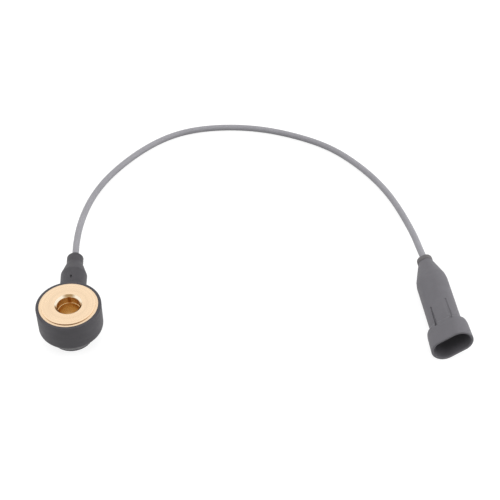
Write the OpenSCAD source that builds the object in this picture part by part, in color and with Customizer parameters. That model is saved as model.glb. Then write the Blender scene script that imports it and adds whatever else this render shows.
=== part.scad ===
// Engine knock sensor: a piezo ring clamped on a flanged brass sleeve, moulded into a black housing
// with a cable neck, and a free lead that ends in a sealed two-way connector.
// Millimetres. The origin is on the bore's axis at the sleeve's lower end, +Z runs up the bore to the
// brass flange and +Y runs along the cable neck.

/* [Bore and brass sleeve] */
// Diameter of the mounting bore, clearance for an M8 screw
bore_d = 8.4; // [8:0.1:9]
// Radial step from the bore to its wider entry
entry_step = 0.2; // [0.1:0.05:0.4]
// Depth of the wider entry below the raised land
entry_depth = 3.8; // [2:0.1:5]
// Leg of the chamfer at the mouth of the bore
mouth_chamfer = 0.8; // [0.4:0.1:1.2]
// Wall of the sleeve's tube
tube_wall = 2; // [1.6:0.1:2.2]
// Leg of the chamfer round the tube's lower end
tube_chamfer = 0.3; // [0.1:0.05:0.6]
// Diameter of the flange
flange_d = 22.4; // [22:0.1:24]
// Thickness of the flange at its rim
flange_t = 2.6; // [1.8:0.1:3]
// Diameter of the raised land that meets the engine
land_d = 20.6; // [17:0.1:21.4]
// Height of the raised land above the rim
land_h = 0.45; // [0.3:0.05:1]

/* [Sensing stack] */
// Free length of the sleeve's tube below the nut
tube_end = 3.6; // [3:0.1:4.5]
// Height of the retaining nut
nut_h = 2.4; // [2:0.1:3]
// Size of the retaining nut across its flats
nut_flats = 14.6; // [14.4:0.1:15.6]
// Height of the disc spring as clamped
spring_h = 1; // [0.8:0.05:1.3]
// Thickness of the disc spring's sheet
spring_t = 0.5; // [0.3:0.05:0.7]
// Radial width of the disc spring
spring_w = 2.5; // [2:0.1:3]
// Height of the seismic mass
mass_h = 4.4; // [3.5:0.1:5.5]
// Radial width of the seismic mass
mass_w = 3.8; // [3.2:0.1:4]
// Height of the piezo ring
piezo_h = 2.2; // [1.5:0.1:3]
// Radial width of the piezo ring
piezo_w = 2.9; // [2.2:0.1:3]
// Thickness of each contact ring and of its tab
contact_t = 0.3; // [0.2:0.05:0.4]
// Thickness of each insulating washer
washer_t = 0.3; // [0.2:0.05:0.5]
// How far each insulating washer stands out past the piezo ring
washer_lip = 0.3; // [0.1:0.05:0.4]
// Wall of the insulating tube between the sleeve and the rings
liner_t = 0.4; // [0.3:0.05:0.6]
// Radial play of the seismic mass on the sleeve
mass_play = 0.2; // [0.15:0.05:0.3]

/* [Contact tabs and splices] */
// Width of a contact tab
tab_w = 2; // [1.6:0.1:2.4]
// Width of a tab's narrow end inside its splice
tab_end_w = 1; // [0.8:0.1:1.1]
// Sideways place of each tab from the neck's middle plane
tab_x = 1.7; // [1.4:0.1:2]
// Moulded wall between the seismic mass and the tabs
tab_wall = 0.75; // [0.5:0.05:1]
// Run of a tab along the neck before its splice
tab_run = 4; // [3:0.1:5]
// Length of a splice sleeve
splice_l = 4; // [3.4:0.1:4.6]
// Inner diameter of a splice sleeve
splice_bore = 1.5; // [1.45:0.05:1.7]
// Wall of a splice sleeve
splice_wall = 0.3; // [0.2:0.05:0.4]

/* [Housing] */
// Moulded wall around the flange
rim_wall = 1.15; // [0.7:0.05:1.5]
// How far the housing's rim stays below the flange's rim
rim_drop = 0.05; // [0:0.05:0.4]
// Rounding of the housing's upper edge
rim_round = 0.35; // [0.15:0.05:0.6]
// How far the housing's base stays above the sleeve's lower end
base_gap = 0.1; // [0.1:0.05:0.6]
// Moulded wall around the tube at the base
base_wall = 1.75; // [1.2:0.05:2]
// Rounding of the housing's lower edge
base_round = 0.2; // [0.1:0.05:0.3]
// Height of the straight foot under the tapered part
foot_h = 0.6; // [0.4:0.05:1]
// Height of the foot and the tapered part together
cone_h = 6.4; // [5.8:0.1:7]
// Taper of the upper part from its rim down, in radius
draft = 0.1; // [0.05:0.05:0.3]
// Rounding between the upper and the tapered part
cone_round = 2.5; // [1:0.1:4]

/* [Cable neck] */
// Height of the neck's axis above the sleeve's lower end
neck_z = 8.8; // [8.4:0.1:9.2]
// Diameter of the neck's thick part
neck_d = 10.4; // [9.6:0.1:11]
// Where the thick part ends, from the bore's axis
neck_shoulder = 23.9; // [23:0.1:26]
// Length of the taper down to the cable boss
neck_taper = 6; // [4.5:0.1:7]
// Diameter of the cable boss
boss_d = 6.6; // [5.8:0.1:7.4]
// Straight length of the cable boss
boss_l = 3.9; // [3:0.1:6]
// Length of the chamfer at the boss's end
boss_chamfer = 1.9; // [1.5:0.1:3]
// Width of the flat face round the lead at the boss's end
boss_lip = 0.4; // [0.2:0.05:0.8]
// Flare of the neck where it grows out of the housing
neck_flare = 1.3; // [0.6:0.1:1.6]
// Sideways place of the mark that the mould's holding pin leaves on the neck
pin_mark_x = -0.4; // [-2:0.1:2]
// Place of that mark along the neck, from the bore's axis
pin_mark_y = 18.7; // [17.5:0.1:20.5]
// Width of that mark
pin_mark_w = 0.7; // [0.5:0.05:1]
// Length of that mark
pin_mark_l = 1.8; // [1.2:0.1:2.5]
// Depth of that mark
pin_mark_depth = 0.8; // [0.5:0.1:2]

/* [Lead] */
// Diameter of the lead's jacket
lead_d = 2.7; // [2.4:0.1:3]
// Diameter of each insulated core
core_d = 0.95; // [0.8:0.05:1.05]
// Diameter of each core's bare conductor
conductor_d = 0.6; // [0.45:0.05:0.65]
// Length of bare conductor between a core's insulation and its splice or crimp
strip_l = 1; // [0.6:0.1:1.4]
// Length of jacket held inside the neck
neck_grip = 10; // [9:0.1:11]
// Length of jacket held inside the connector
plug_grip = 9; // [8:0.1:10]

/* [Connector shell] */
// Length of the connector from its rear lip to its mouth
con_l = 49.4; // [47:0.1:52]
// Width of the connector's body
body_w = 12.8; // [12.4:0.1:13.6]
// Thickness of the connector's body
body_t = 8.9; // [8.6:0.1:9.4]
// Wall of the connector's body round its pocket
body_wall = 1.2; // [0.9:0.05:1.3]
// Width of the shroud at the mouth
shroud_w = 16.9; // [16:0.1:18]
// Thickness of the shroud at the mouth
shroud_t = 10.5; // [10:0.1:11.5]
// Wall of the shroud
shroud_wall = 1; // [0.8:0.05:1.4]
// Length of the shroud
shroud_l = 7.6; // [7:0.1:9]
// How far each side of the shroud widens towards the mouth
shroud_draft = 0.2; // [0.1:0.05:0.3]
// Length of the shoulder between the body and the shroud
shoulder_l = 2.9; // [1.8:0.1:3.4]
// Rounding of the mouth's outer edge
mouth_round = 0.3; // [0.1:0.05:0.5]
// Depth of the socket from the mouth to the terminal carrier
socket_depth = 18; // [16:0.1:20]
// Where the body's straight part starts, from the rear lip
body_start = 14.9; // [13.5:0.1:16]
// Width at the shell's rear end
tail_w = 6; // [5.6:0.1:6.6]
// Thickness at the shell's rear end
tail_t = 4.9; // [4.7:0.1:5.4]
// Width of the lock ramp under the shroud
lock_w = 5.2; // [4:0.1:6]
// Height of the lock ramp under the shroud
lock_h = 1.3; // [1.1:0.05:1.7]
// Length of the lock ramp
lock_l = 4; // [3:0.1:5]
// Length of the groove near the middle of the upper face
mid_groove_l = 10.5; // [8:0.1:13]
// Width of that groove at the shoulder
mid_groove_w = 0.9; // [0.5:0.05:1.1]
// Depth of that groove at the shoulder
mid_groove_depth = 0.65; // [0.3:0.05:0.7]
// Length of the groove at the side of the upper face
side_groove_l = 11.6; // [9:0.1:14]
// Width of that groove at the shoulder
side_groove_w = 0.6; // [0.4:0.05:0.9]
// Depth of that groove at the shoulder
side_groove_depth = 0.3; // [0.2:0.05:0.5]

/* [Connector inserts] */
// Width of the rear seal's lip
lip_w = 6.4; // [5.8:0.1:7]
// Thickness of the rear seal's lip
lip_t = 5.4; // [5:0.1:6]
// Length of the rear seal's lip
lip_l = 2.5; // [2:0.1:3]
// Rounding of the rear seal's lip
lip_round = 0.7; // [0.4:0.05:0.9]
// Wall of the rear seal round the lead
seal_wall = 0.55; // [0.45:0.05:0.6]
// Length of the rear seal inside the shell
seal_l = 5.6; // [4.5:0.1:6]
// Length of the terminal carrier
carrier_l = 6; // [5:0.1:7]
// Distance between the two terminals
pitch = 5.2; // [5:0.1:5.4]
// Width of a terminal blade
blade_w = 2.8; // [2.3:0.1:2.9]
// Thickness of a terminal blade
blade_t = 0.8; // [0.6:0.05:1]
// How far the blades' tips lie behind the mouth
blade_back = 6; // [5.5:0.1:8]
// Length of the taper at a blade's tip
blade_tip = 1.2; // [0.8:0.1:1.6]
// Outer diameter of a terminal's crimp barrel
crimp_d = 2.2; // [1.8:0.1:2.4]
// Length of a terminal's crimp barrel
crimp_l = 4.5; // [3.5:0.1:5]
// Length of bare shank between a crimp barrel and the carrier
shank_l = 2.4; // [2:0.1:3]

/* [Place of the connector] */
// Sideways place of the connector's rear end
con_x = 140.8; // [140.6:0.1:141]
// Forward place of the connector's rear end
con_y = 30.4; // [30.1:0.1:30.6]
// Turn of the connector's mouth away from -Y towards +X, in degrees
con_heading = 3.4; // [2.4:0.1:4.4]

/* [Hidden] */

$fn = 96;
// Sides of a hull's own circles
hull_fn = 32;
// Clearance all round a piece that is moulded in or pushed in
fit = 0.05;
// Overrun of a cut past the face that it opens
over = 1;
// Thickness of the sheets that a hull is stretched between
skin = 0.02;
// Straight pieces in a rounded corner
corner_steps = 6;
// Sides of the lead and of its cores
tube_sides = 8;
// Half a turn, in degrees
half_turn = 180;
// Moulded wall between the tube and the neck's root
root_wall = 2.4;
// How far the neck's full flare lies inside the housing's wall, and how far outside it ends
flare_depth = 1;
flare_run = 2.4;
// How much slimmer in radius the neck is at its root than at its shoulder
neck_swell = 0.15;
// Roundings of the neck, from the flare to the lead
flare_round = 1.5;
shoulder_round = 1.8;
boss_root_round = 4;
boss_edge_round = 0.5;
lip_edge_round = 0.25;
// Gap between a tab's full width and its splice
tab_stop = 0.5;
// Share of a core's run that stays straight at each end
straight_share = 0.2;
// How far a core's conductor starts inside its insulation
core_lap = 0.2;
// Solid end of a crimp's bore, and the gap between it and the conductor
crimp_floor = 0.4;
// Eased change from the shell's taper to its body: its length, and how much slimmer it starts
ease_l = 2.7;
ease_w = 0.85;
ease_t = 0.5;
// Where the shoulder turns, as shares of its length and of its growth
turn_share = 0.45;
turn_growth = 0.85;
// How far the shroud's cavity reaches back into the shoulder
cavity_reach = 0.6;
// How far the lock ramp stays behind the mouth, and the share of its length at full height
lock_inset = 2;
crest_share = 0.3;
// Sideways places of the two grooves, which key the plug
mid_groove_x = -2.2;
side_groove_x = 4.2;
// How far the grooves cut into the shoulder
groove_lap = 1.8;
// Share of its width and depth that a groove has at its rear end
groove_share = 0.5;
// A shank's width as a share of its blade's, and its lap into the crimp and into the blade
shank_share = 0.6;
shank_lap = 0.5;
// How far a blade reaches out behind the carrier
blade_root = 1.4;
// How much narrower a blade's tip is than the blade
tip_narrowing = 1;

SIGNAL = -1;
GROUND = 1;

BRASS = [0.93, 0.74, 0.48];
STEEL = [0.62, 0.63, 0.65];
CERAMIC = [0.86, 0.83, 0.76];
COPPER = [0.8, 0.5, 0.33];
FILM = [0.78, 0.6, 0.25];
BLACK = [0.27, 0.27, 0.29];
GREY = [0.46, 0.46, 0.48];
SEAL_GREY = [0.42, 0.4, 0.4];
LEAD_GREY = [0.62, 0.62, 0.64];

// Radii of the sleeve and of what is threaded on it
bore_r = bore_d / 2;
entry_r = bore_r + entry_step;
tube_r = bore_r + tube_wall;
flange_r = flange_d / 2;
liner_r = tube_r + fit + liner_t;
ring_bore_r = liner_r + fit;
piezo_r = ring_bore_r + piezo_w;
washer_r = piezo_r + washer_lip;
mass_bore_r = tube_r + mass_play;
mass_r = mass_bore_r + mass_w;
spring_bore_r = tube_r + mass_play;
spring_r = spring_bore_r + spring_w;
nut_r = nut_flats / 2 / cos(30);

// Heights of the stack, built up from the nut to the flange's land
nut_z = tube_end;
spring_z = nut_z + nut_h;
mass_z = spring_z + spring_h;
lower_washer_z = mass_z + mass_h;
ground_z = lower_washer_z + washer_t;
piezo_z = ground_z + contact_t;
signal_z = piezo_z + piezo_h;
upper_washer_z = signal_z + contact_t;
flange_z = upper_washer_z + washer_t;
rim_z = flange_z + flange_t;
head_h = rim_z + land_h;

// The housing's outside
housing_top = rim_z - rim_drop;
housing_r = flange_r + fit + rim_wall;
cone_top = base_gap + cone_h;
base_r = tube_r + fit + base_wall;

// The neck's outside, along its axis
neck_r = neck_d / 2;
boss_r = boss_d / 2;
lead_r = lead_d / 2;
boss_start = neck_shoulder + neck_taper;
boss_stop = boss_start + boss_l;
neck_end = boss_stop + boss_chamfer;
neck_root = tube_r + fit + root_wall;
flare_start = housing_r - flare_depth;
flare_end = housing_r + flare_run;

// Places along the neck of the tabs, splices, cores and jacket
tab_leg_y = mass_r + fit + tab_wall;
splice_y = tab_leg_y + tab_run;
splice_r = splice_bore / 2 + splice_wall;
splice_z = neck_z + (conductor_d - contact_t) / 2;
splice_middle = splice_y + splice_l / 2;
core_r = core_d / 2;
conductor_r = conductor_d / 2;
conductor_z = neck_z + conductor_r;
core_spread = core_r + fit / 2;
jacket_start = neck_end - neck_grip;
strip_y = splice_y + splice_l + strip_l;

// Places along the connector's axis, from its rear lip
shell_start = lip_l;
seal_end = lip_l + seal_l;
jacket_end = plug_grip;
shroud_start = con_l - shroud_l;
shoulder_start = shroud_start - shoulder_l;
ease_start = body_start - ease_l;
carrier_front = con_l - socket_depth;
carrier_back = carrier_front - carrier_l;
shroud_floor = shroud_start - cavity_reach;
blade_end = con_l - blade_back;
crimp_end = carrier_back - shank_l;
crimp_start = crimp_end - crimp_l;
seal_r = lead_r + fit + seal_wall;
pocket_w = body_w - 2 * body_wall;
pocket_t = body_t - 2 * body_wall;
socket_w = shroud_w - 2 * shroud_wall;
socket_t = shroud_t - 2 * shroud_wall;
lock_front = con_l - lock_inset;
lock_back = lock_front - lock_l;
lock_crest = lock_back + lock_l * crest_share;
rear_w = shroud_w - 2 * shroud_draft;
rear_t = shroud_t - 2 * shroud_draft;
groove_end = shoulder_start + groove_lap;

// How the connector lies: on the shroud's rear edge, the lock ramp's edge and the body's shoulder
function low_point(w, t, roll) = (w - t) / 2 * sin(roll) + t / 2;
function tilt_at(roll) = asin((low_point(rear_w, rear_t, roll) - low_point(body_w, body_t, roll))
    / (shroud_start - body_start));
function roll_at(tilt) = let (
    up = shroud_t / 2 + lock_h,
    side = (rear_w - rear_t - lock_w) / 2,
    height = rear_t / 2 + (lock_back - shroud_start) * sin(tilt))
    acos(height / norm([up, side])) - atan2(side, up);
con_roll = roll_at(tilt_at(roll_at(0)));
con_tilt = tilt_at(con_roll);
con_z = low_point(body_w, body_t, con_roll) - body_start * sin(con_tilt);
con_dir = [sin(con_heading) * cos(con_tilt), -cos(con_heading) * cos(con_tilt), sin(con_tilt)];

// The lead's route over the table: x, y and its lift above lying flat
LEAD_ROUTE = [[0, 43.6, 7], [0.6, 53.8, 5.8], [1.9, 66.2, 2.8], [5, 79.5, 0.7], [10.9, 92.1, 0],
    [19.6, 103.6, 0], [30, 113.8, 0], [42.3, 121.3, 0], [56.1, 124.4, 0], [70.5, 124.2, 0],
    [84.5, 121.1, 0], [97.8, 115.3, 0], [109.7, 107.7, 0], [119.4, 97.2, 0], [127.5, 85, 0],
    [133.4, 71.9, 0], [137.2, 58, 0.4], [139.1, 45.4, 2.2], [139.9, 37.4, 3]];
lead_laid = lead_r + fit;
// Share of the way between two points of the route from one of the tube's rings to the next
ring_share = 0.5;

function unit(v) = v / norm(v);

// A point on the connector's axis, that far from its rear lip
function on_connector(s) = [con_x, con_y, con_z] + s * con_dir;

// A smooth curve from b to c that leaves and arrives in line with their neighbours a and d
function between(a, b, c, d, t) = b + (c - a) * t / 2 + (2 * a - 5 * b + 4 * c - d) * t * t / 2
    + (3 * b - a - 3 * c + d) * t * t * t / 2;
function smooth(p) = [for (i = [1:len(p) - 3]) for (t = [0:ring_share:1 - ring_share])
    between(p[i - 1], p[i], p[i + 1], p[i + 2], t)];

// The polygon of corners [x, y, radius], with each corner rounded by its radius
function corner(a, b, c, r) = let (
    u = unit(a - b),
    v = unit(c - b),
    half = acos(u * v) / 2,
    middle = b + unit(u + v) * r / sin(half),
    p = b + u * r / tan(half) - middle,
    q = b + v * r / tan(half) - middle,
    from = atan2(p.y, p.x),
    turn = (atan2(q.y, q.x) - from + 3 * half_turn) % (2 * half_turn) - half_turn)
    [for (k = [0:corner_steps]) middle + r * [cos(from + turn * k / corner_steps),
        sin(from + turn * k / corner_steps)]];
function flat(p) = [p.x, p.y];
function rounded(p) = [for (i = [0:len(p) - 1])
    let (a = p[(i + len(p) - 1) % len(p)], b = p[i], c = p[(i + 1) % len(p)])
    each b[2] > 0 ? corner(flat(a), flat(b), flat(c), b[2]) : [flat(b)]];

// A round tube swept along points that never turn towards "above"
module tube(p, r, above = [0, 0, 1]) {
    last = len(p) - 1;
    rings = [for (i = [0:last])
        let (ahead = unit(p[min(i + 1, last)] - p[max(i - 1, 0)]),
            side = unit(cross(ahead, above)),
            up = cross(side, ahead))
        for (k = [0:tube_sides - 1])
            let (turn = 360 * (k + 0.5) / tube_sides)
            p[i] + r * (cos(turn) * side + sin(turn) * up)];
    walls = [for (i = [0:last - 1]) for (k = [0:tube_sides - 1])
        let (next = (k + 1) % tube_sides)
        [i * tube_sides + k, i * tube_sides + next, (i + 1) * tube_sides + next,
            (i + 1) * tube_sides + k]];
    start_cap = [for (k = [0:tube_sides - 1]) tube_sides - 1 - k];
    end_cap = [for (k = [0:tube_sides - 1]) last * tube_sides + k];
    polyhedron(rings, concat(walls, [start_cap, end_cap]), convexity = 10);
}

// A ring about the bore's axis
module ring(z, h, inner, outer) {
    translate([0, 0, z])
        difference() {
            cylinder(h, r = outer);
            translate([0, 0, -over])
                cylinder(h + 2 * over, r = inner);
        }
}

// A cylinder along the neck, at sideways place x and height z
module along_neck(x, z, from, to, r) {
    translate([x, from, z])
        rotate([-90, 0, 0])
            cylinder(to - from, r = r);
}

// A block between two corners
module block(low, high) {
    translate(low)
        cube(high - low);
}

// An outline with two straight sides and two round ends
module stadium(w, t, sides = $fn) {
    square([w - t, t], center = true);
    for (side = [-1, 1])
        translate([side * (w - t) / 2, 0])
            circle(t / 2, $fn = sides);
}

// A straight length of that outline along the connector's axis
module stadium_bar(from, to, w, t) {
    translate([0, 0, from])
        linear_extrude(to - from)
            stadium(w, t);
}

// A smooth change from one such outline to another
module stadium_loft(from, w1, t1, to, w2, t2) {
    hull() {
        translate([0, 0, from])
            linear_extrude(skin)
                stadium(w1, t1, hull_fn);
        translate([0, 0, to - skin])
            linear_extrude(skin)
                stadium(w2, t2, hull_fn);
    }
}

// Puts the connector, which is drawn along +Z with its upper face to +Y, where it lies
module placed() {
    translate([con_x, con_y, con_z])
        rotate([90 - con_tilt, 0, con_heading])
            rotate([0, 0, con_roll])
                children();
}

module flanged_sleeve() {
    entry_z = head_h - entry_depth;
    color(BRASS)
        rotate_extrude()
            polygon([[bore_r, 0], [tube_r - tube_chamfer, 0], [tube_r, tube_chamfer], [tube_r, flange_z],
                [flange_r, flange_z], [flange_r, rim_z], [land_d / 2, rim_z], [land_d / 2, head_h],
                [entry_r + mouth_chamfer, head_h], [entry_r, head_h - mouth_chamfer],
                [entry_r, entry_z], [bore_r, entry_z]]);
}

// One contact's tab: out under the flange, down beside the mass and along the neck to its splice
module contact_tab(side, z, grow = 0) {
    x = side * tab_x;
    foot = neck_z - contact_t;
    g = [grow, grow, grow];
    half = [tab_w / 2, 0, 0] + g;
    end_half = [tab_end_w / 2, 0, 0] + g;
    back = tab_leg_y + contact_t;
    block([x, ring_bore_r + piezo_w / 2, z] - half, [x, back, z + contact_t] + half);
    block([x, tab_leg_y, foot] - half, [x, back, z + contact_t] + half);
    block([x, tab_leg_y, foot] - half, [x, splice_y - tab_stop, neck_z] + half);
    block([x, tab_leg_y, foot] - end_half, [x, splice_middle, neck_z] + end_half);
}

module contact_ring(side, z) {
    color(COPPER) {
        difference() {
            union() {
                translate([0, 0, z])
                    cylinder(contact_t, r = piezo_r);
                contact_tab(side, z);
            }
            translate([0, 0, z - over])
                cylinder(contact_t + 2 * over, r = ring_bore_r);
        }
    }
}

// A core's path inside the neck, from the jacket's end to where its insulation stops
function neck_core_path(side) = let (
    a = [side * core_spread, jacket_start, neck_z],
    d = [side * tab_x, strip_y, conductor_z],
    lead_in = [0, (a.y - d.y) * straight_share, 0])
    [a, a - lead_in, (a + d) / 2, d + lead_in, d];

// A core's path inside the connector, along its axis
function plug_core_path(side) = let (
    a = [side * core_spread, 0, jacket_end],
    d = [side * pitch / 2, 0, crimp_start - strip_l],
    lead_in = [0, 0, (d.z - a.z) * straight_share])
    [a, a + lead_in, (a + d) / 2, d - lead_in, d];

module head_core(side, grow = 0) {
    tube(neck_core_path(side), core_r + grow);
    along_neck(side * tab_x, conductor_z, splice_middle - grow, strip_y + core_lap, conductor_r + grow);
}

// The space that the moulding leaves for the wiring in the neck
module neck_wiring(side, z) {
    contact_tab(side, z, fit);
    along_neck(side * tab_x, splice_z, splice_y - fit, splice_y + splice_l + fit, splice_r + fit);
    head_core(side, fit);
}

module neck_outline() {
    translate([0, 0, neck_z])
        rotate([-90, 0, 0])
            rotate_extrude()
                polygon(rounded([[0, neck_root, 0], [neck_r + neck_flare, neck_root, 0],
                    [neck_r + neck_flare, flare_start, 0], [neck_r - neck_swell, flare_end, flare_round],
                    [neck_r, neck_shoulder, shoulder_round], [boss_r, boss_start, boss_root_round],
                    [boss_r, boss_stop, boss_edge_round],
                    [lead_r + fit + boss_lip, neck_end, lip_edge_round], [0, neck_end, 0]]));
}

module pin_mark() {
    bottom = neck_z + neck_r - pin_mark_depth;
    translate([pin_mark_x, pin_mark_y, bottom])
        linear_extrude(pin_mark_depth + over)
            rotate([0, 0, 90])
                stadium(pin_mark_l, pin_mark_w);
}

module sensor_housing() {
    color(BLACK)
        difference() {
            union() {
                rotate_extrude()
                    polygon(rounded([[0, base_gap, 0], [base_r, base_gap, base_round],
                        [base_r, base_gap + foot_h, 0],
                        [housing_r - draft, cone_top, cone_round], [housing_r, housing_top, rim_round],
                        [0, housing_top, 0]]));
                neck_outline();
            }
            rotate_extrude()
                polygon([[0, -over], [tube_r + fit, -over], [tube_r + fit, spring_z],
                    [spring_r + fit, spring_z], [spring_r + fit, mass_z], [mass_r + fit, mass_z],
                    [mass_r + fit, lower_washer_z], [washer_r + fit, lower_washer_z],
                    [washer_r + fit, flange_z], [flange_r + fit, flange_z],
                    [flange_r + fit, head_h + over], [0, head_h + over]]);
            translate([0, 0, nut_z])
                cylinder(nut_h, r = nut_r + fit, $fn = 6);
            neck_wiring(SIGNAL, signal_z);
            neck_wiring(GROUND, ground_z);
            along_neck(0, neck_z, jacket_start, neck_end + over, lead_r + fit);
            pin_mark();
        }
}

module insulating_tube() {
    color(FILM)
        ring(lower_washer_z, flange_z - lower_washer_z, tube_r + fit, liner_r);
}

module upper_insulating_washer() {
    color(FILM)
        ring(upper_washer_z, washer_t, ring_bore_r, washer_r);
}

module signal_contact_ring() {
    contact_ring(SIGNAL, signal_z);
}

module piezo_ring() {
    color(CERAMIC)
        ring(piezo_z, piezo_h, ring_bore_r, piezo_r);
}

module ground_contact_ring() {
    contact_ring(GROUND, ground_z);
}

module lower_insulating_washer() {
    color(FILM)
        ring(lower_washer_z, washer_t, ring_bore_r, washer_r);
}

module seismic_mass() {
    color(STEEL)
        ring(mass_z, mass_h, mass_bore_r, mass_r);
}

// A coned washer whose inner edge rests on the nut and whose outer edge presses on the mass
module disc_spring() {
    rise = spring_h - spring_t;
    color(STEEL)
        rotate_extrude()
            polygon([[spring_bore_r, spring_z], [spring_bore_r, spring_z + spring_t],
                [spring_r, spring_z + rise + spring_t], [spring_r, spring_z + rise]]);
}

module retaining_nut() {
    color(STEEL)
        translate([0, 0, nut_z])
            difference() {
                cylinder(nut_h, r = nut_r, $fn = 6);
                translate([0, 0, -over])
                    cylinder(nut_h + 2 * over, r = tube_r + fit);
            }
}

module splice(side) {
    x = side * tab_x;
    color(COPPER)
        difference() {
            along_neck(x, splice_z, splice_y, splice_y + splice_l, splice_r);
            along_neck(x, splice_z, splice_y - over, splice_y + splice_l + over, splice_bore / 2);
        }
}

module signal_splice() {
    splice(SIGNAL);
}

module ground_splice() {
    splice(GROUND);
}

module signal_core_head() {
    color("tomato")
        head_core(SIGNAL);
}

module ground_core_head() {
    color("dimgray")
        head_core(GROUND);
}

module cable_jacket() {
    held = [0, jacket_start, neck_z];
    exit = [0, neck_end, neck_z];
    laid = [for (p = LEAD_ROUTE) [p.x, p.y, lead_laid + p.z]];
    route = concat([held, exit], laid, [on_connector(0), on_connector(jacket_end)]);
    color(LEAD_GREY)
        tube(concat([held], smooth(route), [on_connector(0), on_connector(jacket_end)]), lead_r);
}

module plug_core(side, grow = 0) {
    tube(plug_core_path(side), core_r + grow, [0, 1, 0]);
    start = crimp_start - strip_l - core_lap;
    translate([side * pitch / 2, 0, start])
        cylinder(crimp_end - 2 * crimp_floor - start + grow, r = conductor_r + grow);
}

module signal_core_plug() {
    color("tomato")
        placed()
            plug_core(SIGNAL);
}

module ground_core_plug() {
    color("dimgray")
        placed()
            plug_core(GROUND);
}

// A rubber sleeve round the lead with a rounded lip outside the shell
module rear_seal() {
    color(SEAL_GREY)
        placed()
            difference() {
                union() {
                    stadium_loft(0, lip_w - 2 * lip_round, lip_t - 2 * lip_round, lip_round, lip_w, lip_t);
                    stadium_bar(lip_round, lip_l - lip_round / 2, lip_w, lip_t);
                    stadium_loft(lip_l - lip_round / 2, lip_w, lip_t, lip_l, lip_w - lip_round,
                        lip_t - lip_round);
                    translate([0, 0, lip_l - lip_round])
                        cylinder(seal_l + lip_round, r = seal_r);
                }
                translate([0, 0, -over])
                    cylinder(seal_end + 2 * over, r = lead_r + fit);
            }
}

// A terminal without its crimp's bore: blade, shank and crimp barrel
module terminal_form(side, grow = 0) {
    x = side * pitch / 2;
    half_w = blade_w / 2 + grow;
    half_t = blade_t / 2 + grow;
    shank_half = half_w * shank_share;
    root = carrier_back - blade_root;
    translate([x, 0, 0]) {
        translate([0, 0, crimp_start - grow])
            cylinder(crimp_l + 2 * grow, r = crimp_d / 2 + grow);
        block([-shank_half, -half_t, crimp_end - shank_lap], [shank_half, half_t, root + shank_lap]);
        block([-half_w, -half_t, root - grow], [half_w, half_t, blade_end - blade_tip]);
    }
}

module terminal(side) {
    color(BRASS)
        placed()
            difference() {
                union() {
                    terminal_form(side);
                    translate([side * pitch / 2, 0, blade_end - blade_tip])
                        hull() {
                            linear_extrude(skin)
                                square([blade_w, blade_t], center = true);
                            translate([0, 0, blade_tip - skin])
                                linear_extrude(skin)
                                    square([blade_w - tip_narrowing, blade_t / 2], center = true);
                        }
                }
                translate([side * pitch / 2, 0, crimp_start - over])
                    cylinder(crimp_l - crimp_floor + over, r = conductor_r + fit);
            }
}

module signal_terminal() {
    terminal(SIGNAL);
}

module ground_terminal() {
    terminal(GROUND);
}

// The block that holds both terminals at their pitch; its front is the socket's floor
module terminal_carrier() {
    color(GREY)
        placed()
            difference() {
                stadium_bar(carrier_back, carrier_front, pocket_w - 2 * fit, pocket_t - 2 * fit);
                for (side = [SIGNAL, GROUND])
                    terminal_form(side, fit);
            }
}

// A groove that is narrower and shallower at its rear end than at the shoulder
module groove(x, length, w, depth) {
    rim = abs(x) - (body_w - body_t) / 2;
    top = rim > 0 ? sqrt(pow(body_t / 2, 2) - rim * rim) : body_t / 2;
    rear = groove_end - length;
    rear_half = w / 2 * groove_share;
    intersection() {
        translate([x, top + over, 0])
            rotate([90, 0, 0])
                linear_extrude(2 * over)
                    polygon([[-rear_half, rear], [rear_half, rear], [w / 2, groove_end],
                        [-w / 2, groove_end]]);
        translate([x + w, 0, 0])
            rotate([0, -90, 0])
                linear_extrude(2 * w)
                    polygon([[rear, top - depth * groove_share], [groove_end, top - depth],
                        [groove_end, top + over], [rear, top + over]]);
    }
}

// The ramp that the plug's latch climbs and hooks behind
module lock_ramp() {
    face = -shroud_t / 2;
    translate([lock_w / 2, 0, 0])
        rotate([0, -90, 0])
            linear_extrude(lock_w)
                polygon([[lock_back, face + shroud_wall / 2], [lock_back, face - lock_h],
                    [lock_crest, face - lock_h], [lock_front, face],
                    [lock_front, face + shroud_wall / 2]]);
}

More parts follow.
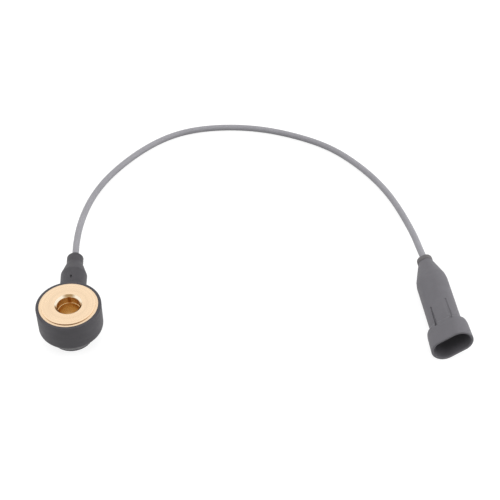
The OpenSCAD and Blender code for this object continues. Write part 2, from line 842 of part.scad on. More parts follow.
module connector_shell() {
    ease_from_w = body_w - ease_w;
    ease_from_t = body_t - ease_t;
    turn_w = body_w + (rear_w - body_w) * turn_growth;
    turn_t = body_t + (rear_t - body_t) * turn_growth;
    turn_start = shoulder_start + shoulder_l * turn_share;
    rim_start = con_l - mouth_round;
    rim_w = shroud_w - 2 * mouth_round;
    rim_t = shroud_t - 2 * mouth_round;
    color(GREY)
        placed()
            difference() {
                union() {
                    stadium_loft(shell_start, tail_w, tail_t, ease_start, ease_from_w, ease_from_t);
                    stadium_loft(ease_start, ease_from_w, ease_from_t, body_start, body_w, body_t);
                    stadium_bar(body_start, shoulder_start, body_w, body_t);
                    stadium_loft(shoulder_start, body_w, body_t, turn_start, turn_w, turn_t);
                    stadium_loft(turn_start, turn_w, turn_t, shroud_start, rear_w, rear_t);
                    stadium_loft(shroud_start, rear_w, rear_t, rim_start, shroud_w, shroud_t);
                    stadium_loft(rim_start, shroud_w, shroud_t, con_l, rim_w, rim_t);
                    lock_ramp();
                }
                stadium_bar(shroud_floor, con_l + over, socket_w, socket_t);
                stadium_bar(carrier_back, con_l, pocket_w, pocket_t);
                translate([0, 0, shell_start - over])
                    cylinder(seal_l + fit + over, r = seal_r + fit);
                translate([0, 0, shell_start])
                    cylinder(jacket_end - shell_start, r = lead_r + fit);
                for (side = [SIGNAL, GROUND]) {
                    terminal_form(side, fit);
                    plug_core(side, fit);
                }
                groove(mid_groove_x, mid_groove_l, mid_groove_w, mid_groove_depth);
                groove(side_groove_x, side_groove_l, side_groove_w, side_groove_depth);
            }
}

flanged_sleeve();
sensor_housing();
insulating_tube();
upper_insulating_washer();
signal_contact_ring();
piezo_ring();
ground_contact_ring();
lower_insulating_washer();
seismic_mass();
disc_spring();
retaining_nut();
signal_splice();
ground_splice();
signal_core_head();
ground_core_head();
cable_jacket();
signal_core_plug();
ground_core_plug();
rear_seal();
connector_shell();
terminal_carrier();
signal_terminal();
ground_terminal();
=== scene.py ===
"""Looks of an engine knock sensor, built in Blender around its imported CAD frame.

Sizes are in millimetres, as in the part's source, and become metres where a mesh is made. The
head, the lead and the connector are classes that build their own meshes and dress the CAD nodes
that they keep.
"""

import logging
import math
from dataclasses import dataclass, field
from enum import Enum
from functools import cached_property

import bmesh
import bpy
import numpy as np
from mathutils import Matrix, Vector


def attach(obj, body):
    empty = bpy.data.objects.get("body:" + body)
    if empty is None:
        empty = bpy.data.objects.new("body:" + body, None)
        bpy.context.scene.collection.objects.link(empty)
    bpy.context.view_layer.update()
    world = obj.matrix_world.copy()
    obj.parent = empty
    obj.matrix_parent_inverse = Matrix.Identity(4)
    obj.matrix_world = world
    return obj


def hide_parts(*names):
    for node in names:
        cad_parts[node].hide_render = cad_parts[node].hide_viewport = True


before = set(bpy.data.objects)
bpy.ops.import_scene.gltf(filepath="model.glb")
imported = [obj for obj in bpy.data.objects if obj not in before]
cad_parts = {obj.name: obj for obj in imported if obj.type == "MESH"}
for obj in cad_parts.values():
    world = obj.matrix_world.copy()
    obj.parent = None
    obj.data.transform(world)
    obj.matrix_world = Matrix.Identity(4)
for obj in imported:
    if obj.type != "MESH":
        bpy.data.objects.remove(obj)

MM = 0.001
ROOT = "root"
LOG = logging.getLogger("knock_sensor")

Point3 = tuple[float, float, float]
Span = tuple[float, float]
Thing = bpy.types.Object
Socket = bpy.types.NodeSocket
Value = Socket | float | Point3

NOISE_SPAN = (0.3, 0.7)
CLOUD_DETAIL = 3
WHITE = (1, 1, 1)


class Slot(Enum):
    """The record's material slots."""

    BRASS = "turned_brass"
    HOUSING = "black_moulding"
    FILM = "insulating_film"
    COPPER = "contact_copper"
    CERAMIC = "piezo_ceramic"
    STEEL = "machined_steel"
    SIGNAL_CORE = "signal_insulation"
    GROUND_CORE = "ground_insulation"
    JACKET = "lead_jacket"
    SEAL = "seal_rubber"
    CONNECTOR = "connector_moulding"
    TERMINAL = "terminal_metal"


class Cut(Enum):
    """How one solid changes another."""

    ADD = "UNION"
    REMOVE = "DIFFERENCE"


class Side(Enum):
    """The sensor's two poles, and the side of the middle plane on which each lies."""

    SIGNAL = -1
    GROUND = 1


def arc_corner(before: np.ndarray, corner: np.ndarray, after: np.ndarray, radius: float,
               steps: int) -> list[np.ndarray]:
    """Rounds one corner of an outline.

    Args:
        before: The outline's point before the corner.
        corner: The corner.
        after: The outline's point after the corner.
        radius: The radius of the rounding.
        steps: The number of straight pieces in it.

    Returns:
        The points of the arc that takes the corner's place.
    """
    u = (before - corner) / np.linalg.norm(before - corner)
    v = (after - corner) / np.linalg.norm(after - corner)
    half = math.acos(float(np.clip(u @ v, -1, 1))) / 2
    middle = corner + (u + v) / np.linalg.norm(u + v) * radius / math.sin(half)
    start = corner + u * radius / math.tan(half) - middle
    end = corner + v * radius / math.tan(half) - middle
    first = math.atan2(start[1], start[0])
    turn = (math.atan2(end[1], end[0]) - first + 3 * math.pi) % (2 * math.pi) - math.pi
    angles = [first + turn * k / steps for k in range(steps + 1)]
    return [middle + radius * np.array([math.cos(a), math.sin(a)]) for a in angles]


def rounded(corners: list[Point3], steps: int, closed: bool = False) -> np.ndarray:
    """Rounds the corners of an outline.

    Args:
        corners: The outline's corners, each with its rounding radius as the third number.
        steps: The number of straight pieces in each rounding.
        closed: Whether the last corner joins the first.

    Returns:
        The outline's points, one row each.
    """
    points: list[np.ndarray] = []
    last = len(corners) - 1
    for i, (a, b, radius) in enumerate(corners):
        here = np.array([a, b], float)
        if radius <= 0 or (not closed and i in (0, last)):
            points.append(here)
            continue
        before = np.array(corners[i - 1][:2], float)
        after = np.array(corners[(i + 1) % len(corners)][:2], float)
        points += arc_corner(before, here, after, radius, steps)
    return np.array(points)


def quarter(steps: int) -> list[Span]:
    """Returns the sine and cosine of evenly spaced angles from 0 to a quarter turn."""
    angles = [k / steps * math.pi / 2 for k in range(steps + 1)]
    return [(math.sin(a), math.cos(a)) for a in angles]


def turned_ring(radius: float, height: float, sides: int) -> np.ndarray:
    """Returns a circle of that many points about the bore's axis, at one height."""
    a = np.arange(sides) * 2 * math.pi / sides
    return np.stack([radius * np.cos(a), radius * np.sin(a), np.full(sides, height)], 1)


def stadium_ring(width: float, thickness: float, place: float, half_sides: int) -> np.ndarray:
    """Makes one section of the connector: two straight sides and two round ends.

    Args:
        width: The section's width, along local X.
        thickness: The section's thickness, along local Y.
        place: The section's place along local Z.
        half_sides: The number of points in each round end.

    Returns:
        The section's points in the connector's own axes, never two in one place.
    """
    r = thickness / 2
    reach = (width - thickness) / 2
    a = (np.arange(half_sides) + 0.5) * math.pi / half_sides - math.pi / 2
    right = np.stack([reach + r * np.cos(a), r * np.sin(a)], 1)
    outline = np.concatenate([right, -right])
    return np.column_stack([outline, np.full(len(outline), place)])


def strip(rings: list[np.ndarray], closed: bool = False) -> tuple[np.ndarray, list[list[int]]]:
    """Joins rings of equally many points into one skin.

    Args:
        rings: The rings, in order.
        closed: Whether the last ring joins the first. Otherwise both ends get a flat cap.

    Returns:
        The points and the faces.
    """
    n = len(rings[0])
    faces: list[list[int]] = []
    for i in range(len(rings) if closed else len(rings) - 1):
        here, there = i * n, (i + 1) % len(rings) * n
        faces += [[here + k, here + (k + 1) % n, there + (k + 1) % n, there + k] for k in range(n)]
    if not closed:
        faces.append(list(range(n - 1, -1, -1)))
        faces.append([(len(rings) - 1) * n + k for k in range(n)])
    return np.concatenate(rings), faces


def new_object(name: str, data: bpy.types.ID) -> Thing:
    """Puts a new object into the scene.

    Args:
        name: The object's name.
        data: Its mesh, curve, light or camera.

    Returns:
        The object, at the origin.
    """
    made = bpy.data.objects.new(name, data)
    bpy.context.scene.collection.objects.link(made)
    return made


def aim(looking: Thing, target: Vector) -> None:
    """Turns a lamp or a camera so that it looks at a point in metres."""
    looking.rotation_euler = (target - looking.location).to_track_quat("-Z", "Y").to_euler()


def piece(name: str, points: np.ndarray, faces: list[list[int]],
          place: Matrix | None = None) -> Thing:
    """Makes a mesh object in the row frame.

    Args:
        name: The piece's name.
        points: Its points in millimetres.
        faces: Its faces, as lists of point numbers.
        place: Where its own axes lie in the row frame, in millimetres.

    Returns:
        The new object, which sits at the origin.
    """
    if place is not None:
        turn, shift = np.array(place.to_3x3()), np.array(place.translation)
        points = points @ turn.T + shift
    mesh = bpy.data.meshes.new(name)
    mesh.from_pydata((points * MM).tolist(), [], faces)
    work = bmesh.new()
    work.from_mesh(mesh)
    bmesh.ops.recalc_face_normals(work, faces=work.faces)
    work.to_mesh(mesh)
    work.free()
    return new_object(name, mesh)


def turned(name: str, outline: np.ndarray | list[Span], sides: int, closed: bool = False) -> Thing:
    """Turns an outline about the bore's axis.

    Args:
        name: The piece's name.
        outline: The outline's points, radius and height.
        sides: The number of sides that stand for a circle.
        closed: Whether the outline's last point joins the first.

    Returns:
        The turned piece.
    """
    rings = [turned_ring(radius, height, sides) for radius, height in outline]
    return piece(name, *strip(rings, closed))


def cut(target: Thing, tool: Thing, how: Cut) -> None:
    """Adds a tool's solid to a piece or takes it away, and deletes the tool.

    Args:
        target: The piece that changes.
        tool: The other solid.
        how: Whether it is added or removed.
    """
    step = target.modifiers.new("cut", "BOOLEAN")
    step.operation = how.value
    step.solver = "EXACT"
    step.object = tool
    graph = bpy.context.evaluated_depsgraph_get()
    fresh = bpy.data.meshes.new_from_object(target.evaluated_get(graph))
    target.modifiers.clear()
    old, target.data = target.data, fresh
    fresh.name = target.name
    bpy.data.meshes.remove(old)
    bpy.data.objects.remove(tool)


def finish_shading(target: Thing, angle: float = 30) -> None:
    """Shades a piece smooth, apart from its sharp edges.

    Args:
        target: The piece.
        angle: The angle in degrees past which an edge stays sharp.
    """
    mesh = target.data
    mesh.polygons.foreach_set("use_smooth", [True] * len(mesh.polygons))
    mesh.set_sharp_from_angle(angle=math.radians(angle))
    mesh.update()


def coat(target: Thing, finish: "Finish") -> None:
    """Gives a piece its material.

    Args:
        target: The piece.
        finish: Its finish.
    """
    target.data.materials.clear()
    target.data.materials.append(finish.material())


def settle(target: Thing, finish: "Finish", *nodes: str) -> Thing:
    """Dresses a piece, makes it ride on the body and puts it in place of CAD nodes.

    Args:
        target: The piece.
        finish: Its finish.
        *nodes: The CAD nodes that it stands for.

    Returns:
        The same piece.
    """
    coat(target, finish)
    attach(target, ROOT)
    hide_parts(*nodes)
    LOG.info("%s stands for %s", target.name, ", ".join(nodes))
    return target


def dress(finish: "Finish", *nodes: str) -> list[Thing]:
    """Gives a finish to CAD nodes that stay.

    Args:
        finish: The finish.
        *nodes: The nodes' names.

    Returns:
        Their objects.
    """
    kept = [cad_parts[node] for node in nodes]
    for node, target in zip(nodes, kept):
        coat(target, finish)
        LOG.info("%s keeps its CAD shape in %s", node, finish.slot.value)
    return kept


class Nodes:
    """A node tree, with shorter ways to add nodes to it."""

    def __init__(self, tree: bpy.types.NodeTree) -> None:
        """Takes the tree that the nodes go into."""
        self.tree = tree

    def add(self, kind: str, **settings: object) -> bpy.types.Node:
        """Adds a node.

        Args:
            kind: Blender's name for the node's type.
            **settings: Its properties and their values.

        Returns:
            The node.
        """
        node = self.tree.nodes.new(kind)
        for name, value in settings.items():
            setattr(node, name, value)
        return node

    def feed(self, value: Value, target: Socket) -> None:
        """Links a socket to an input, or sets the input to a plain value.

        Args:
            value: The socket, or a number, a vector or a linear colour of three numbers.
            target: The input.
        """
        if isinstance(value, Socket):
            self.tree.links.new(value, target)
        else:
            target.default_value = (*value, 1) if target.type == "RGBA" else value

    def maths(self, operation: str, first: Socket, second: Socket | float = 0) -> Socket:
        """Adds a calculation.

        Args:
            operation: Blender's name for it.
            first: Its first number.
            second: Its second number, if it takes one.

        Returns:
            The result.
        """
        node = self.add("ShaderNodeMath", operation=operation)
        self.feed(first, node.inputs[0])
        self.feed(second, node.inputs[1])
        return node.outputs[0]

    def sweep(self, value: Socket, low: float, high: float, out_low: Socket | float = 0,
              out_high: float = 1) -> Socket:
        """Maps a number from one range to another, and holds it there.

        Args:
            value: The number.
            low: Where the first range starts.
            high: Where it ends.
            out_low: What it starts at in the second range.
            out_high: What it ends at there.

        Returns:
            The mapped number.
        """
        node = self.add("ShaderNodeMapRange", clamp=True)
        names = ("Value", "From Min", "From Max", "To Min", "To Max")
        for name, number in zip(names, (value, low, high, out_low, out_high)):
            self.feed(number, node.inputs[name])
        return node.outputs["Result"]

    def coordinate(self, vector: Socket, axis: str) -> Socket:
        """Takes one coordinate out of a vector.

        Args:
            vector: The vector.
            axis: "X", "Y" or "Z".

        Returns:
            The coordinate.
        """
        node = self.add("ShaderNodeSeparateXYZ")
        self.feed(vector, node.inputs[0])
        return node.outputs[axis]

    def shown_background(self) -> Socket:
        """Tells the rays that see the background from those that only carry light.

        Returns:
            1 for rays that see it, straight, mirrored or through glass, and 0 for the others.
        """
        path = self.add("ShaderNodeLightPath").outputs
        seen = self.maths("MAXIMUM", path["Is Camera Ray"], path["Is Glossy Ray"])
        return self.maths("MAXIMUM", seen, path["Is Transmission Ray"])


class Recipe(Nodes):
    """One material's node tree."""

    def __init__(self, name: str) -> None:
        """Starts a material with its shader.

        Args:
            name: The material's name.
        """
        self.material = bpy.data.materials.new(name)
        self.material.use_nodes = True
        super().__init__(self.material.node_tree)
        self.shader = self.tree.nodes["Principled BSDF"]

    @cached_property
    def where(self) -> Socket:
        """The place on the surface, in metres in the row frame."""
        return self.add("ShaderNodeTexCoord").outputs["Object"]

    def give(self, name: str, value: Value) -> None:
        """Links or sets one of the shader's own sockets."""
        self.feed(value, self.shader.inputs[name])

    def surface(self, colour: Point3, roughness: float, metallic: float = 0,
                **sockets: Value) -> None:
        """Sets what is the same all over the surface on the shader's own sockets.

        Args:
            colour: The linear base colour.
            roughness: The roughness.
            metallic: 1 for a metal.
            **sockets: Other sockets by name, with an underscore for each space.
        """
        self.give("Base Color", colour)
        self.give("Roughness", roughness)
        self.give("Metallic", metallic)
        for name, value in sockets.items():
            self.give(name.replace("_", " "), value)

    def stretched(self, scale: Point3) -> Socket:
        """Scales the place on the surface along each axis.

        Args:
            scale: The three factors.

        Returns:
            The scaled coordinates.
        """
        node = self.add("ShaderNodeVectorMath", operation="MULTIPLY")
        self.feed(self.where, node.inputs[0])
        self.feed(scale, node.inputs[1])
        return node.outputs["Vector"]

    def radius(self) -> Socket:
        """Measures how far the surface is from the bore's axis.

        Returns:
            The distance in metres.
        """
        node = self.add("ShaderNodeVectorMath", operation="LENGTH")
        self.feed(self.stretched((1, 1, 0)), node.inputs[0])
        return node.outputs["Value"]

    def noise(self, period: float, detail: float = 2, rough: float = 0.5, at: Socket | None = None,
              dimensions: str = "3D") -> Socket:
        """Adds a noise texture.

        Args:
            period: The size of its spots in millimetres.
            detail: How many finer layers it has.
            rough: How strong these are.
            at: The coordinates, or None for the row frame's.
            dimensions: "1D" for noise that changes along one number only.

        Returns:
            The noise, from 0 to 1.
        """
        node = self.add("ShaderNodeTexNoise", noise_dimensions=dimensions)
        self.feed(at or self.where, node.inputs["W" if dimensions == "1D" else "Vector"])
        self.feed(1 / (period * MM), node.inputs["Scale"])
        self.feed(detail, node.inputs["Detail"])
        self.feed(rough, node.inputs["Roughness"])
        return node.outputs[0]

    def blend(self, share: Socket, first: Point3 | Socket, second: Point3) -> Socket:
        """Mixes two colours.

        Args:
            share: How much of the second there is, from 0 to 1.
            first: The first colour, or a socket that has it.
            second: The second colour.

        Returns:
            The mixed colour.
        """
        node = self.add("ShaderNodeMix", data_type="RGBA")
        self.feed(share, node.inputs["Factor"])
        low, high = (s for s in node.inputs if s.type == "RGBA")
        self.feed(first, low)
        self.feed(second, high)
        return next(s for s in node.outputs if s.type == "RGBA")

    def relief(self, height: Socket, depth: float, strength: float = 1,
               over: Socket | None = None) -> Socket:
        """Adds a bump.

        Args:
            height: The height, from 0 to 1.
            depth: What 1 is, in millimetres.
            strength: How strongly it shows.
            over: The normal of a coarser bump under this one.

        Returns:
            The bumped normal.
        """
        node = self.add("ShaderNodeBump")
        self.feed(depth * MM, node.inputs["Distance"])
        self.feed(strength, node.inputs["Strength"])
        self.feed(height, node.inputs["Height"])
        if over is not None:
            self.feed(over, node.inputs["Normal"])
        return node.outputs["Normal"]

    def below(self, length: Socket, limit: float, edge: float) -> Socket:
        """Returns 1 where a length is below a limit and 0 past a soft edge, both in millimetres."""
        return self.sweep(length, limit * MM, (limit + edge) * MM, 1, 0)

    def lobes(self, count: int, start: float, full: float) -> Socket:
        """Adds evenly spaced lobes about the bore's axis, which carry painted shade.

        Args:
            count: How many lobes there are all round.
            start: How high on a wave a lobe starts, where 1 is a crest, as at the neck.
            full: How high it is at its strongest, where -1 is a trough.

        Returns:
            The lobes, from 0 to 1.
        """
        x, y = (self.coordinate(self.where, axis) for axis in "XY")
        turn = self.maths("ARCTAN2", x, y)
        wave = self.maths("COSINE", self.maths("MULTIPLY", turn, count))
        return self.sweep(wave, start, full)


@dataclass(frozen=True)
class Finish:
    """What a surface is made of. Each kind of finish writes its own recipe."""

    slot: Slot
    colour: Point3
    roughness: float

    def material(self) -> bpy.types.Material:
        """Makes the finish's material once, and shares it after that.

        Returns:
            The material.
        """
        name = f"{self.slot.value}_look"
        made = bpy.data.materials.get(name)
        if made is None:
            recipe = Recipe(name)
            self.write(recipe)
            made = recipe.material
        return made

    def shade(self, amount: float) -> Point3:
        """Returns the finish's colour, lighter or darker by a factor."""
        return tuple(min(1.0, c * amount) for c in self.colour)

    def clouded(self, recipe: Recipe, noise: Socket, share: float) -> Socket:
        """Returns the finish's colour, which a noise makes darker and lighter by a share."""
        low, high = self.shade(1 - share), self.shade(1 + share)
        return recipe.blend(recipe.sweep(noise, *NOISE_SPAN), low, high)

    def uneven(self, recipe: Recipe, noise: Socket, less: float, more: float,
               span: Span = NOISE_SPAN) -> None:
        """Lets a span of a noise make the roughness smaller and larger by two amounts."""
        gloss = recipe.sweep(noise, *span, self.roughness - less, self.roughness + more)
        recipe.give("Roughness", gloss)

    def write(self, recipe: Recipe) -> None:
        """Writes the finish's nodes."""
        raise NotImplementedError


@dataclass(frozen=True)
class TurnedMetal(Finish):
    """Metal off a lathe, with rings about the bore's axis and painted highlight and shade. Lengths
    are in millimetres.
    """

    # painted shade: the bore's entry and the bore below it are darker than the face
    bore_shade_colour: Point3
    entry_shade_colour: Point3
    step_shade_colour: Point3
    groove_period: float = 0.35
    groove_detail: float = 1
    band_period: float = 1.3
    band_shades: Span = (0.93, 1.03)
    spot_size: float = 5
    spot_shade: float = 0.93
    spot_span: Span = (0.45, 0.75)
    spot_share: float = 0.35
    gloss_change: Span = (0.05, 0.07)
    band_depth: float = 0.006
    groove_depth: float = 0.002
    groove_strength: float = 0.6
    edge: float = 0.05
    entry_edge: float = 0.1
    bore_reach: float = 4.3
    entry_reach: float = 4.45
    chamfer_reach: float = 5.2
    # painted shade: dark lobes on the chamfer, a painted reflection, and on the bore's entry,
    # strongest towards the neck
    shade_lobe_count: int = 3
    chamfer_lobe_span: Span = (-0.1, 0.8)
    entry_lobe_span: Span = (0.8, 0.97)
    step_shade_side: Span = (-0.55, -1)
    # painted highlight: the chamfer is lighter and whiter than the face
    chamfer_highlight_colour: Point3 = (1, 0.88, 0.7)
    chamfer_lobe_shade: Point3 = (0.42, 0.27, 0.13)
    entry_lobe_shade: Point3 = (0.55, 0.3, 0.11)
    step_r: float = 10.3
    step_z: float = 17.85
    # where the painted shade and reflection at the land's step lie, together with the side span
    # above
    step_shade_start: Span = (0.06, 0.02)
    step_shade_end: Span = (0.02, 0.2)
    step_shade_top: Span = (0.08, 0.06)
    grain: float = 0.3

    def write(self, recipe: Recipe) -> None:
        """Writes rings in colour and relief, with painted highlight and shade on the chamfer, in
        the bore and at the step.

        Args:
            recipe: The recipe that gets the nodes.
        """
        recipe.surface(self.colour, self.roughness, 1, Anisotropic=self.grain)
        radius = recipe.radius()
        bands = recipe.noise(self.band_period, at=radius, dimensions="1D")
        spots = recipe.noise(self.spot_size, CLOUD_DETAIL)
        tint = recipe.blend(recipe.sweep(bands, *NOISE_SPAN), *map(self.shade, self.band_shades))
        worn = recipe.sweep(spots, *self.spot_span, 0, self.spot_share)
        chamfer = recipe.below(radius, self.chamfer_reach, self.edge)
        entry = recipe.below(radius, self.entry_reach, self.entry_edge)
        chamfer_lobe_mask = recipe.lobes(self.shade_lobe_count, *self.chamfer_lobe_span)
        entry_lobe_mask = recipe.lobes(self.shade_lobe_count, *self.entry_lobe_span)
        # painted light over the rings: the chamfer's highlight, dark lobes on the chamfer and the
        # entry, and painted shade in the bore and at the step
        for share, colour in (
                (worn, self.shade(self.spot_shade)),
                (chamfer, self.chamfer_highlight_colour),
                (recipe.maths("MULTIPLY", chamfer, chamfer_lobe_mask), self.chamfer_lobe_shade),
                (entry, self.entry_shade_colour),
                (recipe.maths("MULTIPLY", entry, entry_lobe_mask), self.entry_lobe_shade),
                (recipe.below(radius, self.bore_reach, self.edge), self.bore_shade_colour),
                (self.step_shade_mask(recipe, radius), self.step_shade_colour)):
            tint = recipe.blend(share, tint, colour)
        recipe.give("Base Color", tint)
        self.uneven(recipe, spots, *self.gloss_change)
        rings = recipe.noise(self.groove_period, self.groove_detail, at=radius, dimensions="1D")
        coarse = recipe.relief(bands, self.band_depth)
        fine = recipe.relief(rings, self.groove_depth, self.groove_strength, coarse)
        recipe.give("Normal", fine)
        along = recipe.add("ShaderNodeTangent", direction_type="RADIAL", axis="Z")
        recipe.give("Tangent", along.outputs[0])

    def step_shade_mask(self, recipe: Recipe, radius: Socket) -> Socket:
        """Finds the corner of the land's step, where painted shade and reflection darken the side
        away from the neck.

        Args:
            recipe: The recipe that gets the nodes.
            radius: The distance from the bore's axis.

        Returns:
            1 in the painted shade, 0 elsewhere.
        """
        share = recipe.sweep(radius, *((self.step_r - inside) * MM for inside in self.step_shade_start))
        height = recipe.coordinate(recipe.where, "Z")
        outside, fade = self.step_shade_end
        under, blur = self.step_shade_top
        for other in (recipe.below(radius, self.step_r + outside, fade),
                      recipe.below(height, self.step_z - under, blur),
                      recipe.lobes(1, *self.step_shade_side)):
            share = recipe.maths("MULTIPLY", share, other)
        return share


@dataclass(frozen=True)
class Moulding(Finish):
    """Injection-moulded plastic with a fine spark texture, slight mottling and handling marks."""

    texture: float = 0.22
    depth: float = 0.012
    mottle: float = 0.1
    streak: Point3 = (1, 1, 1)
    scuff: float = 0.25
    scuff_span: Span = (0.6, 0.8)
    scuff_shade: float = 1.5
    gloss_span: Span = (0.3, 0.75)
    gloss_change: Span = (0.05, 0.1)
    mark_size: float = 1.6
    cloud_size: float = 6
    wave_size: float = 2.5
    wave_depth: float = 0.02
    wave_strength: float = 0.5
    strength: float = 0.7
    refraction: float = 1.5
    # how many finer layers a noise has, and how strong these are
    mark_layers: Span = (5, 0.65)
    cloud_layers: Span = (4, 0.6)
    texture_layers: Span = (3, 0.6)

    def write(self, recipe: Recipe) -> None:
        """Writes the mottled colour, the scuffs and the grain.

        Args:
            recipe: The recipe that gets the nodes.
        """
        recipe.surface(self.colour, self.roughness, IOR=self.refraction)
        marks = recipe.noise(self.mark_size, *self.mark_layers, recipe.stretched(self.streak))
        cloud = recipe.noise(self.cloud_size, *self.cloud_layers)
        tint = self.clouded(recipe, cloud, self.mottle)
        worn = recipe.sweep(marks, *self.scuff_span, 0, self.scuff)
        recipe.give("Base Color", recipe.blend(worn, tint, self.shade(self.scuff_shade)))
        self.uneven(recipe, marks, *self.gloss_change, self.gloss_span)
        wave = recipe.relief(recipe.noise(self.wave_size), self.wave_depth, self.wave_strength)
        grain = recipe.noise(self.texture, *self.texture_layers)
        recipe.give("Normal", recipe.relief(grain, self.depth, self.strength, wave))


@dataclass(frozen=True)
class Soft(Finish):
    """Smooth rubber or cable jacket with a satin skin."""

    mottle: float = 0.05
    grain: float = 0.3
    depth: float = 0.006
    cloud_size: float = 9
    gloss_size: float = 1.2
    gloss_change: Span = (0.05, 0.06)
    strength: float = 0.6
    refraction: float = 1.48

    def write(self, recipe: Recipe) -> None:
        """Writes the faint colour change, the uneven gloss and the skin's relief.

        Args:
            recipe: The recipe that gets the nodes.
        """
        recipe.surface(self.colour, self.roughness, IOR=self.refraction)
        cloud = recipe.noise(self.cloud_size, CLOUD_DETAIL)
        recipe.give("Base Color", self.clouded(recipe, cloud, self.mottle))
        self.uneven(recipe, recipe.noise(self.gloss_size, CLOUD_DETAIL), *self.gloss_change)
        recipe.give("Normal", recipe.relief(recipe.noise(self.grain), self.depth, self.strength))


@dataclass(frozen=True)
class PlainMetal(Finish):
    """Rolled or plated metal with fine scratches and a slight tarnish."""

    tarnish: float = 0.3
    tarnish_span: Span = (0.45, 0.75)
    tarnish_shade: float = 0.7
    tarnish_size: float = 2.2
    scratch: Point3 = (1, 1, 9)
    scratch_size: float = 0.9
    scratch_depth: float = 0.004
    scratch_strength: float = 0.5
    scratch_layers: Span = (4, 0.6)
    gloss_change: Span = (0.06, 0.1)

    def write(self, recipe: Recipe) -> None:
        """Writes the tarnish, the uneven gloss and the scratches.

        Args:
            recipe: The recipe that gets the nodes.
        """
        recipe.surface(self.colour, self.roughness, 1)
        cloud = recipe.noise(self.tarnish_size, CLOUD_DETAIL)
        share = recipe.sweep(cloud, *self.tarnish_span, 0, self.tarnish)
        recipe.give("Base Color", recipe.blend(share, self.colour, self.shade(self.tarnish_shade)))
        along = recipe.stretched(self.scratch)
        lines = recipe.noise(self.scratch_size, *self.scratch_layers, along)
        self.uneven(recipe, lines, *self.gloss_change)
        recipe.give("Normal", recipe.relief(lines, self.scratch_depth, self.scratch_strength))


@dataclass(frozen=True)
class Insulator(Finish):
    """Film, ceramic or wire insulation: an even colour with a little cloud and a fine skin."""

    cloud: float = 0.08
    cloud_size: float = 1.4
    skin: float = 0.15
    skin_depth: float = 0.003
    skin_strength: float = 0.6

    def write(self, recipe: Recipe) -> None:
        """Writes the clouded colour and the skin's relief.

        Args:
            recipe: The recipe that gets the nodes.
        """
        recipe.surface(self.colour, self.roughness)
        spots = recipe.noise(self.cloud_size, CLOUD_DETAIL)
        recipe.give("Base Color", self.clouded(recipe, spots, self.cloud))
        skin = recipe.noise(self.skin)
        recipe.give("Normal", recipe.relief(skin, self.skin_depth, self.skin_strength))


# the bore's, entry's and step's colours are painted shade
BRASS = TurnedMetal(Slot.BRASS, (0.975, 0.742, 0.51), 0.24, bore_shade_colour=(0.7, 0.47, 0.22),
                    entry_shade_colour=(0.89, 0.73, 0.51), step_shade_colour=(0.22, 0.12, 0.05))
HOUSING = Moulding(Slot.HOUSING, (0.046, 0.0432, 0.049), 0.55, streak=(0.35, 0.35, 1.6), scuff=0.5)
CONNECTOR = Moulding(Slot.CONNECTOR, (0.125, 0.121, 0.133), 0.55, texture=0.3, mottle=0.06,
                     scuff=0.12)
JACKET = Soft(Slot.JACKET, (0.277, 0.272, 0.292), 0.5)
SEAL = Soft(Slot.SEAL, (0.13, 0.122, 0.126), 0.6, mottle=0.08, grain=0.25, depth=0.01)
STEEL = PlainMetal(Slot.STEEL, (0.55, 0.55, 0.57), 0.3)
COPPER = PlainMetal(Slot.COPPER, (0.75, 0.45, 0.28), 0.28)
TIN = PlainMetal(Slot.TERMINAL, (0.72, 0.7, 0.64), 0.25, tarnish=0.2)
FILM = Insulator(Slot.FILM, (0.6, 0.42, 0.12), 0.3)
CERAMIC = Insulator(Slot.CERAMIC, (0.75, 0.71, 0.62), 0.5)
SIGNAL_CORE = Insulator(Slot.SIGNAL_CORE, (0.6, 0.08, 0.06), 0.4)
GROUND_CORE = Insulator(Slot.GROUND_CORE, (0.1, 0.1, 0.1), 0.4)


